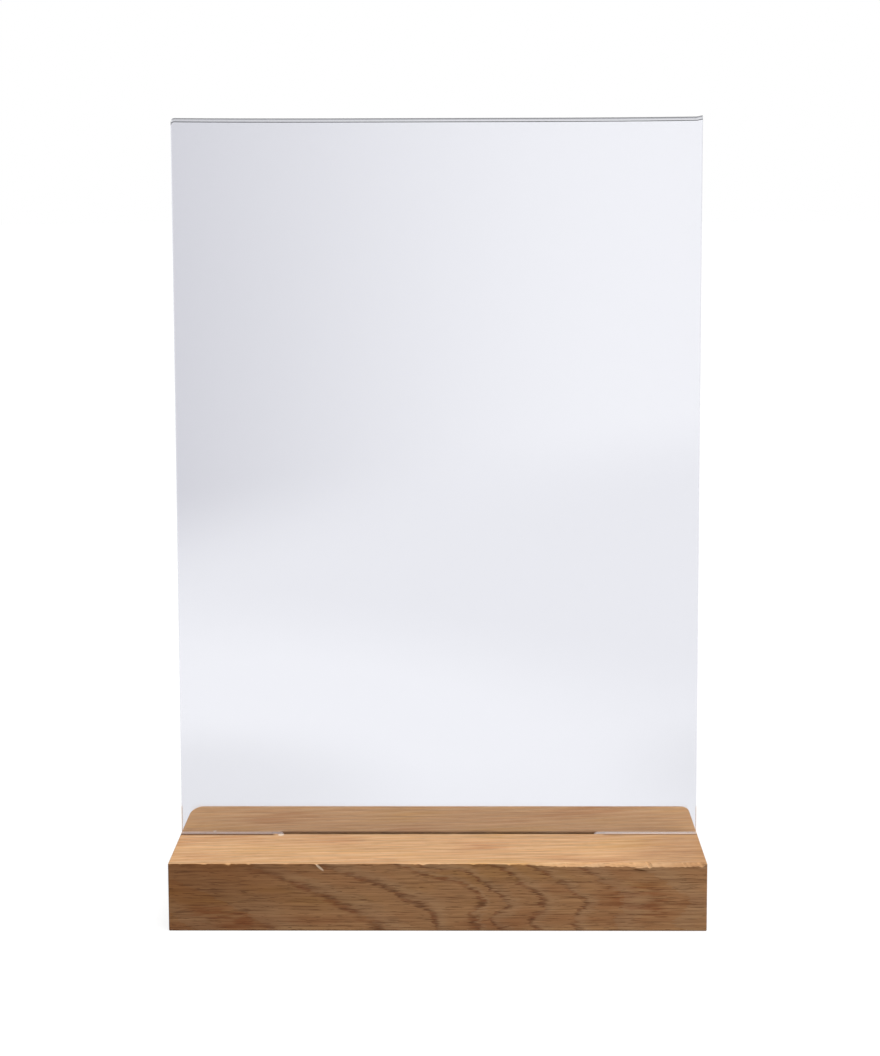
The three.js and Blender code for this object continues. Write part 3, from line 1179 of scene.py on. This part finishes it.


# %% [markdown]
# Clear acrylic
#
# Cast acrylic with polished faces bends light with an IOR of 1.49 and has next to no tint. The sheet is never
# perfectly even: long shallow waves from the casting make reflections swim, and handling leaves faint smears
# where the gloss is softer. Its edges are cut by laser, which leaves them glossy too, so light runs along
# inside the sheet and they hardly show. Only the shoulders, which rub on the wood, are matt and pale. Their
# pale tone stands partly for rubbed acrylic and partly for painted reflection of the light in the edge, and the
# right one is paler than the left. The bend was softened by the hot wire. Its tint is greyer, and darker grey
# along its crown and in its crease, which is painted shade that draws two grey lines. Lamps have to shine
# through all of it on the wood, and real glass shaders cast a full shadow, so for shadow rays it is plain
# transparent with a slight loss.

# %% Acrylic materials
ACRYLIC_TINT = linear("#f6f6f8")
# The bend is tinted greyer, and CREASE_TINT is painted shade along its crown and in its crease
BEND_TINT = linear("#e4e4e6")
CREASE_TINT = linear("#808084")
# The pale shoulder tones stand partly for rubbed acrylic and partly for painted reflection, paler at the right
RUBBED_REFLECTING_LEFT = linear("#e0cbbf")
RUBBED_REFLECTING_RIGHT = linear("#fff0e4")
RUBBED_ROUGHNESS = 0.6
ACRYLIC_SHADOW = linear("#f0f0f3")
ACRYLIC_IOR = 1.49
FACES_CROWN = span(0.6, 0.8)
FACES_CREASE = span(-0.05, -0.4)
WAVES = ((70.0, 70.0, 110.0), 0.0, 71.0)
WAVE_HEIGHT = 0.06
SMEARS = ((60.0, 60.0, 38.0), 3.0, 81.0, span(0.5, 0.8, 0.0, 0.06))
LEFT_TO_RIGHT = span(-TONGUE_WIDTH / 2, TONGUE_WIDTH / 2)


def lets_lamps_through(tree, surface, shade):
    """The surface for every ray but a shadow ray, which passes with only a slight loss."""
    path = add(tree, "ShaderNodeLightPath")
    open_way = add(tree, "ShaderNodeBsdfTransparent", {"Color": shade})
    shadow = path.outputs["Is Shadow Ray"]
    both = add(tree, "ShaderNodeMixShader", {0: shadow, 1: surface, 2: open_way})
    add(tree, "ShaderNodeOutputMaterial", {"Surface": both})


def crown_and_crease(tree):
    """The tint of the bend, with painted shade along its crown outside and in its crease inside."""
    facing = add(tree, "ShaderNodeTexCoord").outputs["Normal"]
    upward = add(tree, "ShaderNodeSeparateXYZ", {"Vector": facing}).outputs["Z"]
    crown, crease = by_spans(tree, upward, FACES_CROWN, FACES_CREASE)
    shaded_lines = add(tree, "ShaderNodeMath", {0: crown, 1: crease}, operation="MAXIMUM")
    return lay_over(tree, BEND_TINT, (shaded_lines, CREASE_TINT))


def clear_acrylic(name, bent=False):
    """Cast acrylic: clear and glossy, with slow waves and faint smears."""
    material = empty_material(name)
    tree = material.node_tree
    place = place_in_mm(tree)
    waves = {"Height": lumpy(tree, place, *WAVES), "Strength": 1.0, "Distance": WAVE_HEIGHT * MM}
    finish = {
        "Base Color": crown_and_crease(tree) if bent else ACRYLIC_TINT,
        "Roughness": lumpy(tree, place, *SMEARS),
        "IOR": ACRYLIC_IOR,
        "Transmission Weight": 1.0,
        "Normal": add(tree, "ShaderNodeBump", waves),
    }
    lets_lamps_through(tree, add(tree, "ShaderNodeBsdfPrincipled", finish), ACRYLIC_SHADOW)
    return material


def rubbed_and_reflecting_acrylic():
    """The matt shoulder edges, pale partly as rubbed acrylic with a trace of the wood's colour and partly as
    painted reflection.
    """
    material = empty_material("rubbed_and_reflecting_acrylic")
    tree = material.node_tree
    parts = add(tree, "ShaderNodeSeparateXYZ", {"Vector": place_in_mm(tree)}).outputs
    rightward = add(tree, "ShaderNodeMapRange", {"Value": parts["X"], **LEFT_TO_RIGHT}, **SMOOTH)
    colour = lay_over(tree, RUBBED_REFLECTING_LEFT, (rightward, RUBBED_REFLECTING_RIGHT))
    finish = {"Base Color": colour, "Roughness": RUBBED_ROUGHNESS, "IOR": ACRYLIC_IOR}
    add(tree, "ShaderNodeOutputMaterial", {"Surface": add(tree, "ShaderNodeBsdfPrincipled", finish)})
    return material


finishes = [clear_acrylic("clear_acrylic"), clear_acrylic("bent_acrylic", bent=True), rubbed_and_reflecting_acrylic()]
print("finishes:", [finish.name for finish in finishes])

# %% Put the sleeve in its place
sleeve = new_piece("clear_sleeve", sleeve_mesh(), finishes)
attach(sleeve, "sleeve")
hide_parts("sleeve_front_leaf", "sleeve_rear_leaf", "sleeve_fold")
print("sleeve faces:", len(sleeve.data.polygons))
